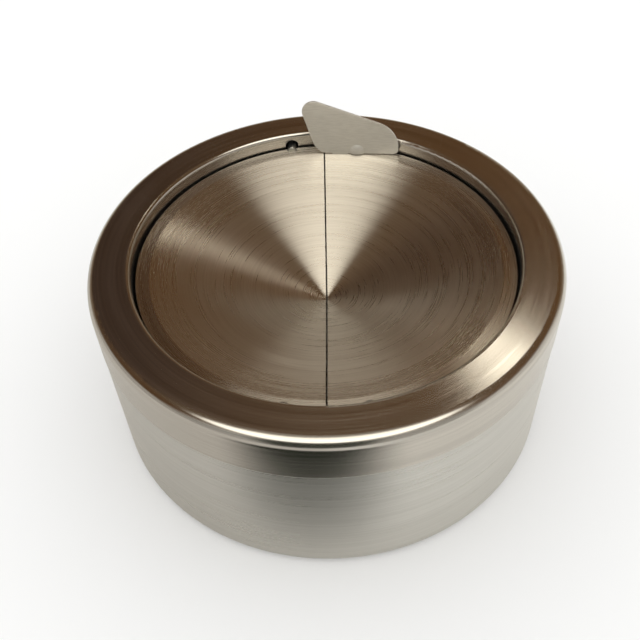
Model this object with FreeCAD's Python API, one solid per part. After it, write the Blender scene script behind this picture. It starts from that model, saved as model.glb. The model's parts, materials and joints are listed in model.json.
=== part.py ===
import FreeCAD, Part
import math
import os

# Round tabletop ashtray with a tilting lid of two flaps, in millimetres, +Z up.
# The origin is the centre of the base, on the table. The thumb tab stands at
# the rear (+Y), and the flaps meet on the plane X = 0.

# Overall sizes
OUTER_RADIUS = 65.0        # outside of the cover's skirt
RING_TOP = 56.5            # height of the ring's flat top

# Tub
TUB_SHEET = 0.8
FOOT_TAPER = 0.4           # skirt outside to foot outside
FOOT_BEND = 2.6
FOOT_RING_WIDTH = 9.5      # ring that the tub stands on, round the recess
RECESS_DEPTH = 0.8
RECESS_SLOPE = 1.5         # width of the step into the recess
SEAM_STEP = 0.15           # tub wall inside the skirt's outside, at the seam
SHOULDER_BEND = 0.3
NECK_HEIGHT = 7.0          # stands up inside the skirt
NECK_CLEARANCE = 0.3       # radial, neck to skirt

# Pad under the tub
PAD_PROUD = 0.2            # pad below the foot ring
PAD_MARGIN = 1.5           # pad edge inside the recess

# Cover ring
COVER_SHEET = 0.8
SKIRT_HEIGHT = 13.5        # seam to ring top
RING_EDGE_BEND = 2.8
RING_WIDTH = 11.7          # skirt outside to collar inside
COLLAR_BEND = 1.1
COLLAR_MARGIN = 1.3        # collar below the rest legs
EDGE_ROUND = 0.2           # on the free edges of all sheet

# Flaps
FLAP_SHEET = 0.7
FLAP_GAP = 0.75            # flap rim to collar
SPLIT_GAP = 0.45           # between the two flaps
RIM_DROP = 4.5             # ring top to flap rim
DISH_DEPTH = 15.8          # flap rim to the bottom of the dish
RIM_BAND = 3.75            # flat rim outside the cone
RIM_BEND = 1.6
TIP_RADIUS = 1.2           # small round bottom of the cone

# Pivot pins, half sunk in saddles in the flap rims
PIVOT_X = 10.3
PIN_RADIUS = 1.38
PIN_TAB_CLEARANCE = 0.3    # pin's inner end behind the tab
PIN_PROUD = 1.2            # pin past the outside of the collar
PIN_END_BEND = 0.4
COLLAR_HOLE_RADIUS = 2.0
PIN_REST_CLEARANCE = 0.05  # pin to the bottom of its hole
SADDLE_MARGIN = 0.1        # saddle's open end inside the flap's edge

# Ledges that the closed flaps lie on
REST_SHEET = 0.8
REST_LEG = 4.0
REST_OVERLAP = 2.2         # under the flap rim
REST_HALF_ANGLE = 14.0
REST_BEARING = 50.0        # degrees, middle of a ledge forward of the X axis

# Thumb tab, with a cam edge that pushes the left flap
TAB_SHEET = 0.7
TAB_INSET = 4.15           # front face inside the flap's edge, on the plane X = 0
TAB_SKEW = 4.5             # degrees, right end turned forward
OPEN_ANGLE = 37.0          # degrees, both flaps fully tipped
CAM_CLEARANCE = 0.3        # tab's cam and bottom edges above the flap rims
TAB_WIDTH = 23.2           # from the split to the right edge
TAB_TOP_LEFT = 18.7        # height of the top edge near its peak, above the rim
TAB_TOP_SLOPE = 20.5       # degrees, top edge falling to the right
TAB_PEAK_X = -2.1          # where TAB_TOP_LEFT is measured
TAB_PEAK_BEND = 3.6
TAB_SHOULDER_BEND = 9.7
TAB_CORNER_BEND = 1.5
TAB_EDGE_ROUND = 0.15
FOOT_LEFT = 2.5            # welded foot behind the tab
FOOT_WIDTH = 5.0
FOOT_MARGIN = 0.4          # foot inside the flap's edge
BOSS_RADIUS = 3.7          # pressed stiffening boss in front of the right rear pin
BOSS_HEIGHT = 1.2          # boss centre above the rim
BOSS_PROUD = 0.8           # boss in front of the tab's face

# Levels and radii that follow from the above
FOOT_LEVEL = PAD_PROUD
FOOT_RADIUS = OUTER_RADIUS - FOOT_TAPER
SEAM_LEVEL = RING_TOP - SKIRT_HEIGHT
RIM_LEVEL = RING_TOP - RIM_DROP
COLLAR_RADIUS = OUTER_RADIUS - RING_WIDTH
FLAP_RADIUS = COLLAR_RADIUS - FLAP_GAP
CONE_RADIUS = FLAP_RADIUS - RIM_BAND
TAB_PLANE_Y = FLAP_RADIUS - TAB_INSET
COLLAR_OUTSIDE = COLLAR_RADIUS + COVER_SHEET
LEDGE_LEVEL = RIM_LEVEL - FLAP_SHEET
COLLAR_END = LEDGE_LEVEL - REST_LEG - COLLAR_MARGIN
NECK_RADIUS = OUTER_RADIUS - COVER_SHEET - NECK_CLEARANCE
RECESS_RADIUS = FOOT_RADIUS - FOOT_RING_WIDTH - RECESS_SLOPE
RECESS_LEVEL = FOOT_LEVEL + RECESS_DEPTH
HOLE_LEVEL = RIM_LEVEL + COLLAR_HOLE_RADIUS - PIN_RADIUS - PIN_REST_CLEARANCE
DISH_BOTTOM = RIM_LEVEL - DISH_DEPTH

UP = FreeCAD.Vector(0, 0, 1)
REARWARD = FreeCAD.Vector(0, 1, 0)
ORIGIN = FreeCAD.Vector(0, 0, 0)


def point(across, height):
    """A point on the plane Y = 0."""
    return FreeCAD.Vector(across, 0, height)


def cross(first, second):
    """Positive where second turns left of first, on the plane Y = 0."""
    return first.x * second.z - first.z * second.x


def rounded_wire(corners):
    """Closed wire through corners (across, height, bend radius)."""
    count = len(corners)
    edges = []
    stops = []
    for index, (across, height, bend) in enumerate(corners):
        here = point(across, height)
        before = point(*corners[index - 1][:2])
        after = point(*corners[(index + 1) % count][:2])
        back = (before - here).normalize()
        ahead = (after - here).normalize()
        if bend <= 0:
            stops.append((here, here, None))
            continue
        half = back.getAngle(ahead) / 2
        reach = bend / math.tan(half)
        middle = (back + ahead).normalize() * (bend / math.sin(half) - bend)
        stops.append((here + back * reach, here + ahead * reach, here + middle))
    for index, (start, end, middle) in enumerate(stops):
        if middle is not None:
            edges.append(Part.Arc(start, middle, end).toShape())
        following = stops[(index + 1) % count][0]
        if end.distanceToPoint(following) > 1e-6:
            edges.append(Part.LineSegment(end, following).toShape())
    return Part.Wire(edges)


def offset_skin(path, thickness):
    """The other skin of a bent sheet: the path moved to its left."""
    runs = []
    for start, end in zip(path, path[1:]):
        first = point(*start[:2])
        along = (point(*end[:2]) - first).normalize()
        left = point(-along.z, along.x)
        runs.append((first + left * thickness, along))
    last = point(*path[-1][:2])
    skin = [(runs[0][0].x, runs[0][0].z, 0)]
    for index in range(1, len(runs)):
        base, along = runs[index - 1]
        other, ahead = runs[index]
        turn = cross(along, ahead)
        meet = base + along * (cross(other - base, ahead) / turn)
        bend = path[index][2]
        inner = bend - thickness if turn > 0 else bend + thickness
        skin.append((meet.x, meet.z, max(inner, 0)))
    end_left = point(-runs[-1][1].z, runs[-1][1].x)
    end = last + end_left * thickness
    skin.append((end.x, end.z, 0))
    return skin


def sheet_ring(path, thickness):
    """Spun sheet: the path's section, thickened to its left and turned about Z."""
    corners = list(path) + offset_skin(path, thickness)[::-1]
    rounded = []
    for index, (across, height, bend) in enumerate(corners):
        free_end = index in (0, len(path) - 1, len(path), len(corners) - 1)
        if free_end and across > 1e-6:
            bend = EDGE_ROUND
        rounded.append((across, height, bend))
    face = Part.Face(rounded_wire(rounded))
    return face.revolve(ORIGIN, UP, 360)


def half_space(side):
    """Everything on one side of the split, side being -1 or 1."""
    size = 2 * OUTER_RADIUS
    low_x = SPLIT_GAP / 2 if side > 0 else -SPLIT_GAP / 2 - size
    corner = FreeCAD.Vector(low_x, -OUTER_RADIUS, -RING_TOP)
    return Part.makeBox(size, 2 * OUTER_RADIUS, 3 * RING_TOP, corner)


def tub():
    """Drawn pot with a recessed base and a narrower neck."""
    shoulder_radius = OUTER_RADIUS - SEAM_STEP
    recess_edge = RECESS_RADIUS + RECESS_SLOPE
    path = [
        (0, RECESS_LEVEL, 0),
        (RECESS_RADIUS, RECESS_LEVEL, 0),
        (recess_edge, FOOT_LEVEL, 0),
        (FOOT_RADIUS, FOOT_LEVEL, FOOT_BEND),
        (shoulder_radius, SEAM_LEVEL, SHOULDER_BEND),
        (NECK_RADIUS, SEAM_LEVEL, 0),
        (NECK_RADIUS, SEAM_LEVEL + NECK_HEIGHT, 0),
    ]
    return sheet_ring(path, TUB_SHEET)


def base_pad():
    """Thin disc that fills the recess and stands just below the foot ring."""
    return Part.makeCylinder(RECESS_RADIUS - PAD_MARGIN, RECESS_LEVEL)


def pin_hole(x, side):
    """Cutter for one pivot hole through the collar, side being -1 or 1 in Y."""
    start, end = pin_span()
    return bar(x, side, start, end + PIN_PROUD, COLLAR_HOLE_RADIUS, HOLE_LEVEL)


def cover_ring():
    """Flat ring with an outer skirt and an inner collar with four pivot holes."""
    path = [
        (OUTER_RADIUS, SEAM_LEVEL, 0),
        (OUTER_RADIUS, RING_TOP, RING_EDGE_BEND),
        (COLLAR_RADIUS, RING_TOP, COLLAR_BEND),
        (COLLAR_RADIUS, COLLAR_END, 0),
    ]
    ring = sheet_ring(path, COVER_SHEET)
    holes = [pin_hole(x, side) for x in (-PIVOT_X, PIVOT_X) for side in (-1, 1)]
    return ring.cut(Part.Compound(holes))


def flap_rest(side):
    """Angle strip on the collar, its ledge under the rim of one flap."""
    path = [
        (COLLAR_RADIUS, LEDGE_LEVEL - REST_LEG, 0),
        (COLLAR_RADIUS, LEDGE_LEVEL, REST_SHEET),
        (FLAP_RADIUS - REST_OVERLAP, LEDGE_LEVEL, 0),
    ]
    corners = path + offset_skin(path, REST_SHEET)[::-1]
    face = Part.Face(rounded_wire(corners))
    middle = -REST_BEARING if side > 0 else 180 + REST_BEARING
    face.rotate(ORIGIN, UP, middle - REST_HALF_ANGLE)
    return face.revolve(ORIGIN, UP, 2 * REST_HALF_ANGLE)


def dish_path():
    """Top skin of the dished lid, from its rim to its middle."""
    slope = math.atan(DISH_DEPTH / (CONE_RADIUS - TIP_RADIUS))
    tip_bend = TIP_RADIUS / math.tan(slope / 2)
    return [
        (FLAP_RADIUS, RIM_LEVEL, 0),
        (CONE_RADIUS, RIM_LEVEL, RIM_BEND),
        (TIP_RADIUS, DISH_BOTTOM, tip_bend),
        (0, DISH_BOTTOM, 0),
    ]


def bar(x, side, start, end, radius, level):
    """Round bar along Y between two distances from X, side being -1 or 1."""
    base = FreeCAD.Vector(x, side * start, level)
    return Part.makeCylinder(radius, end - start, base, REARWARD * side)


def pin_span():
    """Y of a pin's inner end, just behind the tab, and of its outer end."""
    inner = tab_plate().BoundBox.YMax + PIN_TAB_CLEARANCE
    outer = math.sqrt(COLLAR_OUTSIDE ** 2 - PIVOT_X ** 2) + PIN_PROUD
    return inner, outer


def pivot_pin(x, side):
    """Stub pin, from over the flap's rim to just outside the collar."""
    start, end = pin_span()
    pin = bar(x, side, start, end, PIN_RADIUS, RIM_LEVEL)
    ends = [edge for edge in pin.Edges if edge.BoundBox.YLength < 1e-6]
    return pin.makeFillet(PIN_END_BEND, ends)


def saddle(x, side):
    """Half-round trough pressed down in the flap's rim for one pin."""
    start, end = pin_span()
    radius = PIN_RADIUS + FLAP_SHEET
    trough = bar(x, side, start - FLAP_SHEET, end, radius, RIM_LEVEL)
    rim = Part.makeCylinder(FLAP_RADIUS - SADDLE_MARGIN, RIM_LEVEL)
    return trough.common(rim)


def flap(side):
    """Half of the dish, with a saddle for each of its two pins."""
    dish = sheet_ring(dish_path(), FLAP_SHEET)
    dish.rotate(ORIGIN, UP, 90)
    half = dish.common(half_space(side))
    start, end = pin_span()
    for y_side in (-1, 1):
        x = side * PIVOT_X
        half = half.fuse(saddle(x, y_side))
        half = half.cut(bar(x, y_side, start, end, PIN_RADIUS, RIM_LEVEL))
    return half.removeSplitter()


def cam_point(angle):
    """Cam edge of the tab (from the split, above the rim) for one flap angle."""
    sine = math.sin(angle)
    cosine = math.cos(angle)
    across = PIVOT_X * (1 - cosine * (1 + 2 * sine ** 2)) + CAM_CLEARANCE * math.sin(2 * angle)
    height = 2 * PIVOT_X * sine ** 3 + CAM_CLEARANCE * math.cos(2 * angle)
    return across, height


def line_meeting(start, angle, other, other_angle):
    """Where two lines meet, each given by a point and a direction angle."""
    first = point(math.cos(angle), math.sin(angle))
    second = point(math.cos(other_angle), math.sin(other_angle))
    gap = point(other[0] - start[0], other[1] - start[1])
    reach = cross(gap, second) / cross(first, second)
    return start[0] + first.x * reach, start[1] + first.z * reach


def tab_outline():
    """Face of the tab on the plane Y = 0, heights measured from the flap rim."""
    open_angle = math.radians(OPEN_ANGLE)
    steps = 12
    cam = [cam_point(open_angle * step / steps) for step in range(steps + 1)]
    side_angle = math.pi - 2 * open_angle
    top_angle = -math.radians(TAB_TOP_SLOPE)
    peak = line_meeting(cam[-1], side_angle, (TAB_PEAK_X, TAB_TOP_LEFT), top_angle)
    fall = (TAB_WIDTH - TAB_PEAK_X) * math.tan(math.radians(TAB_TOP_SLOPE))
    shoulder = (TAB_WIDTH, TAB_TOP_LEFT - fall)
    corners = [
        (cam[0][0], cam[0][1], 0),
        (cam[-1][0], cam[-1][1], 0),
        (peak[0], peak[1], TAB_PEAK_BEND),
        (shoulder[0], shoulder[1], TAB_SHOULDER_BEND),
        (TAB_WIDTH, CAM_CLEARANCE, TAB_CORNER_BEND),
    ]
    straight = rounded_wire(corners).Edges[1:]
    curve = Part.BSplineCurve()
    curve.interpolate([point(*spot) for spot in cam])
    return Part.Face(Part.Wire(Part.__sortEdges__([curve.toShape()] + straight)))


def tab_boss():
    """Pressed dimple over the end of the right rear pin, and its hollow."""
    centre = FreeCAD.Vector(PIVOT_X, BOSS_RADIUS - BOSS_PROUD, BOSS_HEIGHT)
    outside = Part.makeSphere(BOSS_RADIUS, centre)
    corner = FreeCAD.Vector(PIVOT_X - BOSS_RADIUS, -BOSS_RADIUS, CAM_CLEARANCE)
    keep = Part.makeBox(2 * BOSS_RADIUS, BOSS_RADIUS + TAB_SHEET, 2 * BOSS_RADIUS, corner)
    hollow = Part.makeSphere(BOSS_RADIUS - TAB_SHEET, centre)
    return outside.common(keep), hollow


def tab_foot():
    """Foot bent back from the tab, flat on the flap rim."""
    corner = FreeCAD.Vector(FOOT_LEFT, 0, 0)
    return Part.makeBox(FOOT_WIDTH, FLAP_RADIUS, TAB_SHEET, corner)


def in_place(shape):
    """Turn a shape of the tab to its skew, and set it on the flap's rim."""
    shape.rotate(ORIGIN, UP, -TAB_SKEW)
    shape.translate(FreeCAD.Vector(0, TAB_PLANE_Y, RIM_LEVEL))
    return shape


def tab_plate():
    """Flat lever with its cam edge, in place."""
    plate = tab_outline().extrude(REARWARD * TAB_SHEET)
    outline = [edge for edge in plate.Edges if edge.BoundBox.YLength < 1e-6]
    return in_place(plate.makeFillet(TAB_EDGE_ROUND, outline))


def thumb_tab():
    """Lever, pressed boss and welded foot in one piece."""
    boss, hollow = tab_boss()
    tab = tab_plate().fuse(in_place(boss)).cut(in_place(hollow))
    rim = Part.makeCylinder(FLAP_RADIUS - FOOT_MARGIN, 2 * RING_TOP)
    foot = in_place(tab_foot()).common(rim)
    return tab.fuse(foot).removeSplitter()


def main():
    pieces = {
        "tub": tub(),
        "base_pad": base_pad(),
        "cover_ring": cover_ring(),
        "left_flap_rest": flap_rest(-1),
        "right_flap_rest": flap_rest(1),
        "left_flap": flap(-1),
        "right_flap": flap(1),
        "thumb_tab": thumb_tab(),
        "left_rear_pin": pivot_pin(-PIVOT_X, 1),
        "left_front_pin": pivot_pin(-PIVOT_X, -1),
        "right_rear_pin": pivot_pin(PIVOT_X, 1),
        "right_front_pin": pivot_pin(PIVOT_X, -1),
    }
    os.makedirs("parts", exist_ok=True)
    for name, shape in pieces.items():
        shape.exportStep("parts/" + name + ".step")
        print(name, shape.isValid(), len(shape.Solids), round(shape.Volume, 1))


main()
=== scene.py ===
import json
import math

import bpy
from mathutils import Matrix, Vector


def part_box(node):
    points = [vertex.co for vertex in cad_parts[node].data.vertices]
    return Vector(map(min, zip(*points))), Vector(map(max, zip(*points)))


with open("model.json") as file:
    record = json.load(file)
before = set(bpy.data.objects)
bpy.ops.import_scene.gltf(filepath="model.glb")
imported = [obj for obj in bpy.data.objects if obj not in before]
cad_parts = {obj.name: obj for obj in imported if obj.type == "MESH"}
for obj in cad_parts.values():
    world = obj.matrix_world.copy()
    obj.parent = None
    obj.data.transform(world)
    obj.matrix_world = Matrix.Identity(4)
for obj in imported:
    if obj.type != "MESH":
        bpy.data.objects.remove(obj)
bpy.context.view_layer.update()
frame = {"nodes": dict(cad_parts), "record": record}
NODES = frame["nodes"]
RING_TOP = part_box("cover_ring")[1].z

# Camera: how far it is from the ring's middle and the nearest it sees in metres, its angles in
# degrees, its lens and sensor in mm
CAMERA_DISTANCE = 0.2324
CAMERA_PITCH = 42.6
CAMERA_AZIMUTH = 1.12
AIM_LEFT = 0.52
AIM_DOWN = 4.92
CAMERA_ROLL = 2.19
LENS = 47.56
SENSOR = 36
NEAREST = 0.01

# Floor: what the camera sees of it, and the duller floor that metal reflects, with painted shade at its
# left, painted light at its right and a painted shadow in front. Sizes and places are in metres.
FLOOR_SIZE = 6.0
FLOOR_COLOUR = (0.96, 0.96, 0.96)
FLOOR_ROUGHNESS = 0.9
FLOOR_GLOSS = 0.1
# Painted shade and painted light: the floor that metal reflects is darker at the left and lighter at the
# right.
FLOOR_REFLECTION_PAINTED_SHADE_LEFT = (0.68, 0.65, 0.60)
FLOOR_REFLECTION_PAINTED_LIGHT_RIGHT = (0.90, 0.88, 0.83)
# Painted shadow: a dark spot on the floor in front that only metal reflects.
SHADOW_IN_METAL = (0.015, 0.02, 0.012)
SHADOW_PLACE = (-0.014, -0.120, 0.0)
SHADOW_REACH = (0.062, 0.046, 1.0)
SHADOW_EDGE = (1.2, 0.5)
FLOOR_BLEND = 0.05

# Studio: daylight for matt things and the floor, and the brown room that metal reflects. Heights
# are those of a direction in the room, from 0 at the horizon to 1 overhead.
DAYLIGHT = (1.08, 1.08, 1.07)
HORIZON = (0.33, 0.26, 0.18)
WALL = (0.118, 0.053, 0.012)
CEILING = (0.13, 0.078, 0.036)
HORIZON_TO_WALL = (0.10, 0.42)
WALL_TO_CEILING = (0.68, 0.92)
# Soft patches in the room: middle (a direction), half widths, softness, colour. They are the pale
# front, the dark shape in it, the panel overhead, a dark place at the back left, the pale left
# and right, a faint panel behind the big one, and a small lamp.
PATCHES = [
    ((0.0, -1.0, 0.1), (1.4, 0.8, 1.0), 0.5, (0.48, 0.46, 0.42)),
    ((-0.07, -0.8, 0.40), (0.38, 0.7, 0.62), 0.6, (0.045, 0.05, 0.035)),
    ((0.0, -0.26, 0.95), (0.58, 0.40, 0.50), 0.3, (2.4, 2.3, 2.05)),
    ((-0.45, 0.65, 0.60), (0.40, 0.40, 0.35), 0.8, (0.045, 0.019, 0.005)),
    ((-0.97, -0.1, 0.1), (0.35, 0.5, 0.3), 0.6, (0.55, 0.52, 0.47)),
    ((0.97, -0.1, 0.1), (0.35, 0.5, 0.3), 0.6, (0.80, 0.77, 0.71)),
    ((-0.03, 0.33, 0.94), (0.15, 0.10, 0.30), 0.4, (0.5, 0.46, 0.38)),
    ((0.190, 0.622, 0.760), (0.036, 0.036, 0.036), 0.4, (7.0, 6.6, 5.6)),
]

# Metal: lines per metre, how fast the lines vary round the axis, how the lines and the smudges
# are mixed, and how far from the axis a flap starts and ends to get smoother, in metres.
# ACROSS_BRUSHING is a quarter turn: the gloss spreads across the brushing, not along it.
FINE_LINES = 2400.0
COARSE_LINES = 500.0
FINE_ARC = 1.2
COARSE_ARC = 0.5
SMUDGE_SIZE = 38.0
SMUDGE_DETAIL = 3.0
FINE_DETAIL = 2.0
COARSE_DETAIL = 3.0
FINE_SHARE = 0.6
COARSE_SHARE = 0.4
LINE_SHARE = 0.75
SMUDGE_SHARE = 0.25
NOISE_ROUGHNESS = 0.6
NOISE_RANGE = (0.35, 0.65)
GRAIN_RANGE = (0.3, 0.7)
GRAIN_DETAIL = 3.0
ACROSS_BRUSHING = 0.25
POLISH_START = 0.034
POLISH_END = 0.046
LINE_DEPTH = 0.0001
TAB_GRAIN = (300, 3000, 3000)
PIN_GRAIN = (3000, 500, 3000)
GRAIN_DEPTH = 0.00005
GRAIN_STRENGTH = 0.1

# Rubber
RUBBER_DARK = (0.02, 0.02, 0.02)
RUBBER_LIGHT = (0.045, 0.043, 0.04)
RUBBER_ROUGHNESS = (0.75, 0.95)
RUBBER_GRAIN = 1800.0
RUBBER_DETAIL = 2.0
RUBBER_BUMP = 0.4
RUBBER_DEPTH = 0.0002


def camera():
    """The camera, above the front of the object and turned a little off its middle."""
    pitch = math.radians(CAMERA_PITCH)
    azimuth = math.radians(CAMERA_AZIMUTH)
    level = math.cos(pitch)
    away = Vector((math.sin(azimuth) * level, -math.cos(azimuth) * level, math.sin(pitch)))
    forward = -away
    right = forward.cross(Vector((0, 0, 1))).normalized()
    up = right.cross(forward)
    turn = Matrix.Rotation(math.radians(AIM_LEFT), 3, up)
    forward, right = turn @ forward, turn @ right
    turn = Matrix.Rotation(-math.radians(AIM_DOWN), 3, right)
    forward, up = turn @ forward, turn @ up
    turn = Matrix.Rotation(math.radians(CAMERA_ROLL), 3, forward)
    right, up = turn @ right, turn @ up
    data = bpy.data.cameras.new("camera")
    data.sensor_width = SENSOR
    data.lens = LENS
    data.clip_start = NEAREST
    seen = bpy.data.objects.new("camera", data)
    bpy.context.scene.collection.objects.link(seen)
    axes = Matrix((right, up, -forward)).transposed().to_4x4()
    seen.matrix_world = Matrix.Translation(Vector((0, 0, RING_TOP)) + away * CAMERA_DISTANCE) @ axes
    bpy.context.scene.camera = seen


def add(tree, kind, inputs=None, **settings):
    """A shader node. An input given as a socket is linked, any other is set."""
    made = tree.nodes.new("ShaderNode" + kind)
    for name, value in settings.items():
        setattr(made, name, value)
    for key, value in (inputs or {}).items():
        if isinstance(value, bpy.types.NodeSocket):
            tree.links.new(value, made.inputs[key])
        else:
            made.inputs[key].default_value = value
    return made


def math_node(tree, operation, first, second):
    return add(tree, "Math", {0: first, 1: second}, operation=operation).outputs[0]


def vector_node(tree, operation, first, second=(0.0, 0.0, 0.0)):
    made = add(tree, "VectorMath", {0: first, 1: second}, operation=operation)
    return made.outputs["Value" if operation == "LENGTH" else "Vector"]


def ramp(tree, value, low, high, to_low=0.0, to_high=1.0, smooth=True):
    """Value between low and high, turned into to_low to to_high."""
    inputs = {"Value": value, "From Min": low, "From Max": high, "To Min": to_low, "To Max": to_high}
    kind = "SMOOTHSTEP" if smooth else "LINEAR"
    return add(tree, "MapRange", inputs, interpolation_type=kind).outputs["Result"]


def blend(tree, factor, first, second):
    """A colour between two others."""
    made = add(tree, "Mix", data_type="RGBA")
    sockets = [socket for socket in made.inputs if socket.type == "RGBA"]
    for socket, colour in zip(sockets, (first, second)):
        if isinstance(colour, bpy.types.NodeSocket):
            tree.links.new(colour, socket)
        else:
            socket.default_value = (*colour, 1)
    tree.links.new(factor, made.inputs["Factor"])
    return [socket for socket in made.outputs if socket.type == "RGBA"][0]


def studio():
    """Even daylight for matt surfaces, and soft panels in a brown room for metal."""
    world = bpy.data.worlds.new("studio")
    bpy.context.scene.world = world
    world.use_nodes = True
    tree = world.node_tree
    tree.nodes.clear()
    direction = add(tree, "TexCoord").outputs["Generated"]
    height = add(tree, "SeparateXYZ", {0: direction}).outputs["Z"]
    room = blend(tree, ramp(tree, height, *HORIZON_TO_WALL), HORIZON, WALL)
    room = blend(tree, ramp(tree, height, *WALL_TO_CEILING), room, CEILING)
    for middle, widths, softness, colour in PATCHES:
        off = vector_node(tree, "SUBTRACT", direction, middle)
        off = vector_node(tree, "DIVIDE", off, widths)
        reach = vector_node(tree, "LENGTH", off)
        inside = ramp(tree, reach, 1 + softness / 2, 1 - softness / 2)
        room = blend(tree, inside, room, colour)
    glossy = add(tree, "LightPath").outputs["Is Glossy Ray"]
    colour = blend(tree, glossy, DAYLIGHT, room)
    light = add(tree, "Background", {"Color": colour})
    add(tree, "OutputWorld", {"Surface": light.outputs[0]})


def floor():
    """A plain pale floor as the camera sees it; in metal it shows painted shade, painted light and a
    painted shadow.
    """
    half = FLOOR_SIZE / 2
    mesh = bpy.data.meshes.new("floor")
    corners = [(-half, -half, 0), (half, -half, 0), (half, half, 0), (-half, half, 0)]
    mesh.from_pydata(corners, [], [(0, 1, 2, 3)])
    plane = bpy.data.objects.new("floor", mesh)
    bpy.context.scene.collection.objects.link(plane)
    material = bpy.data.materials.new("floor")
    material.use_nodes = True
    tree = material.node_tree
    shader = tree.nodes["Principled BSDF"]
    place = add(tree, "TexCoord").outputs["Object"]
    across = add(tree, "SeparateXYZ", {0: place}).outputs["X"]
    # Painted reflection: the floor that metal sees is painted darker at the left and lighter at the
    # right.
    shade_to_light = ramp(tree, across, -FLOOR_BLEND, FLOOR_BLEND)
    painted_reflection = blend(tree, shade_to_light, FLOOR_REFLECTION_PAINTED_SHADE_LEFT, FLOOR_REFLECTION_PAINTED_LIGHT_RIGHT)
    # Painted shadow in the floor's reflection, in front of the tub.
    off = vector_node(tree, "DIVIDE", vector_node(tree, "SUBTRACT", place, SHADOW_PLACE), SHADOW_REACH)
    shadow = ramp(tree, vector_node(tree, "LENGTH", off), *SHADOW_EDGE)
    painted_reflection = blend(tree, shadow, painted_reflection, SHADOW_IN_METAL)
    glossy = add(tree, "LightPath").outputs["Is Glossy Ray"]
    tree.links.new(blend(tree, glossy, FLOOR_COLOUR, painted_reflection), shader.inputs["Base Color"])
    shader.inputs["Roughness"].default_value = FLOOR_ROUGHNESS
    shader.inputs["Specular IOR Level"].default_value = FLOOR_GLOSS
    mesh.materials.append(material)


def line_noise(tree, lines, arc, detail):
    """Noise drawn out into circles round Z, and on a wall into level lines."""
    place = add(tree, "TexCoord").outputs["Object"]
    parts = add(tree, "SeparateXYZ", {0: place})
    flat = vector_node(tree, "MULTIPLY", place, (1.0, 1.0, 0.0))
    round_z = vector_node(tree, "NORMALIZE", flat)
    radius = vector_node(tree, "LENGTH", flat)
    turned = add(tree, "SeparateXYZ", {0: vector_node(tree, "MULTIPLY", round_z, (arc, arc, 0.0))})
    across = math_node(tree, "MULTIPLY", radius, lines)
    vector = add(tree, "CombineXYZ", {0: turned.outputs[0], 1: turned.outputs[1], 2: across})
    inputs = {
        "Vector": vector.outputs[0],
        "W": math_node(tree, "MULTIPLY", parts.outputs["Z"], lines),
        "Scale": 1.0,
        "Detail": detail,
        "Roughness": NOISE_ROUGHNESS,
    }
    return add(tree, "TexNoise", inputs, noise_dimensions="4D").outputs["Fac"]


def round_tangent(tree, place):
    """The way round Z at each place, which turns with the piece."""
    about_z = vector_node(tree, "CROSS_PRODUCT", (0.0, 0.0, 1.0), place)
    settings = {"vector_type": "VECTOR", "convert_from": "OBJECT", "convert_to": "WORLD"}
    return add(tree, "VectorTransform", {0: about_z}, **settings).outputs[0]


def new_metal(name, anisotropy):
    """A plain metal and its shader."""
    material = bpy.data.materials.new(name)
    material.use_nodes = True
    shader = material.node_tree.nodes["Principled BSDF"]
    shader.inputs["Metallic"].default_value = 1
    shader.inputs["Anisotropic"].default_value = anisotropy
    return material, shader


def raise_lines(tree, shader, height, strength, depth):
    """Bump on a shader. The depth is in metres."""
    bump = add(tree, "Bump", {"Height": height, "Strength": strength, "Distance": depth})
    tree.links.new(bump.outputs["Normal"], shader.inputs["Normal"])


def brushed(name, dark, light, rough, anisotropy, bump, polished=0.0):
    """Steel brushed in circles round Z, with faint handling marks. Polished is how much
    smoother it gets towards its rim."""
    material, shader = new_metal(name, anisotropy)
    tree = material.node_tree
    fine = line_noise(tree, FINE_LINES, FINE_ARC, FINE_DETAIL)
    coarse = line_noise(tree, COARSE_LINES, COARSE_ARC, COARSE_DETAIL)
    place = add(tree, "TexCoord").outputs["Object"]
    inputs = {"Vector": place, "Scale": SMUDGE_SIZE, "Detail": SMUDGE_DETAIL}
    smudge = add(tree, "TexNoise", inputs).outputs["Fac"]
    fine = math_node(tree, "MULTIPLY", fine, FINE_SHARE)
    coarse = math_node(tree, "MULTIPLY", coarse, COARSE_SHARE)
    lines = math_node(tree, "ADD", fine, coarse)
    most = math_node(tree, "MULTIPLY", lines, LINE_SHARE)
    rest = math_node(tree, "MULTIPLY", smudge, SMUDGE_SHARE)
    even = math_node(tree, "ADD", most, rest)
    roughness = ramp(tree, even, *NOISE_RANGE, *rough, smooth=False)
    if polished:
        radius = vector_node(tree, "LENGTH", vector_node(tree, "MULTIPLY", place, (1.0, 1.0, 0.0)))
        less = ramp(tree, radius, POLISH_START, POLISH_END, 0.0, polished)
        roughness = math_node(tree, "SUBTRACT", roughness, less)
    tree.links.new(roughness, shader.inputs["Roughness"])
    tree.links.new(blend(tree, ramp(tree, lines, *NOISE_RANGE), dark, light), shader.inputs["Base Color"])
    raise_lines(tree, shader, lines, bump, LINE_DEPTH)
    shader.inputs["Anisotropic Rotation"].default_value = ACROSS_BRUSHING
    tree.links.new(round_tangent(tree, place), shader.inputs["Tangent"])
    return material


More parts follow.
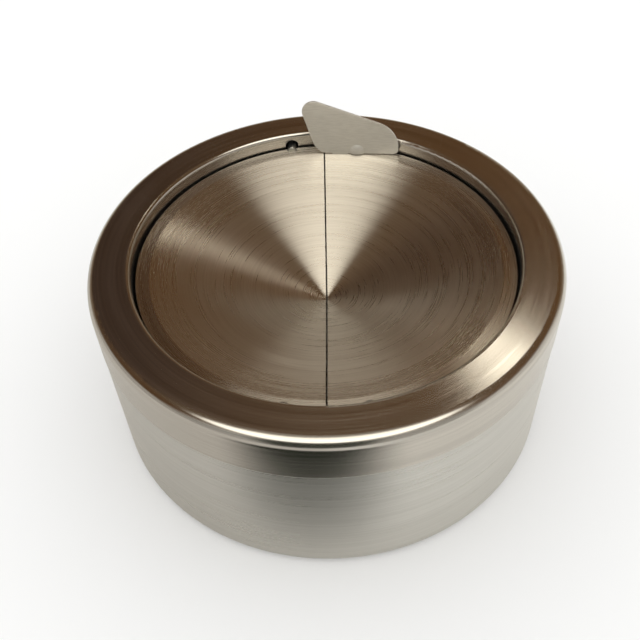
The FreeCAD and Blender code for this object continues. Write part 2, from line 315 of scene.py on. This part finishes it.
def satin(name, dark, light, rough, grain):
    """Sheet or rod steel with a fine even grain, drawn out along the axis where grain is least."""
    material, shader = new_metal(name, 0.0)
    tree = material.node_tree
    place = add(tree, "TexCoord").outputs["Object"]
    drawn = vector_node(tree, "MULTIPLY", place, grain)
    inputs = {"Vector": drawn, "Scale": 1.0, "Detail": GRAIN_DETAIL}
    lines = add(tree, "TexNoise", inputs).outputs["Fac"]
    roughness = ramp(tree, lines, *GRAIN_RANGE, *rough, smooth=False)
    tree.links.new(roughness, shader.inputs["Roughness"])
    tree.links.new(blend(tree, ramp(tree, lines, *GRAIN_RANGE), dark, light), shader.inputs["Base Color"])
    raise_lines(tree, shader, lines, GRAIN_STRENGTH, GRAIN_DEPTH)
    return material


def rubber():
    """Matt black rubber with a fine pebbled grain."""
    material = bpy.data.materials.new("pad_rubber")
    material.use_nodes = True
    tree = material.node_tree
    shader = tree.nodes["Principled BSDF"]
    place = add(tree, "TexCoord").outputs["Object"]
    inputs = {"Vector": place, "Scale": RUBBER_GRAIN, "Detail": RUBBER_DETAIL}
    grain = add(tree, "TexNoise", inputs).outputs["Fac"]
    tree.links.new(ramp(tree, grain, *GRAIN_RANGE, *RUBBER_ROUGHNESS), shader.inputs["Roughness"])
    tree.links.new(blend(tree, grain, RUBBER_DARK, RUBBER_LIGHT), shader.inputs["Base Color"])
    raise_lines(tree, shader, grain, RUBBER_BUMP, RUBBER_DEPTH)
    return material


def dress():
    """Give every node the finish of its material slot."""
    finishes = {
        "tub_steel": brushed(
            "tub_steel", dark=(0.60, 0.59, 0.56), light=(0.68, 0.67, 0.64),
            rough=(0.25, 0.35), anisotropy=0.85, bump=0.12,
        ),
        "cover_steel": brushed(
            "cover_steel", dark=(0.505, 0.478, 0.44), light=(0.625, 0.592, 0.543),
            rough=(0.14, 0.22), anisotropy=0.67, bump=0.012,
        ),
        "flap_steel": brushed(
            "flap_steel", dark=(0.61, 0.56, 0.49), light=(0.71, 0.66, 0.58),
            rough=(0.25, 0.34), anisotropy=1.0, bump=0.015, polished=0.02,
        ),
        "tab_steel": satin(
            "tab_steel", dark=(0.78, 0.76, 0.71), light=(0.86, 0.84, 0.79),
            rough=(0.5, 0.62), grain=TAB_GRAIN,
        ),
        "pin_steel": satin(
            "pin_steel", dark=(0.45, 0.44, 0.41), light=(0.55, 0.54, 0.50),
            rough=(0.25, 0.4), grain=PIN_GRAIN,
        ),
        "pad_rubber": rubber(),
    }
    for part in frame["record"]["subparts"]:
        data = NODES[part["node"]].data
        data.materials.clear()
        data.materials.append(finishes[part["material_slot"]])


bpy.context.scene.view_settings.view_transform = "Standard"
camera()
studio()
floor()
dress()
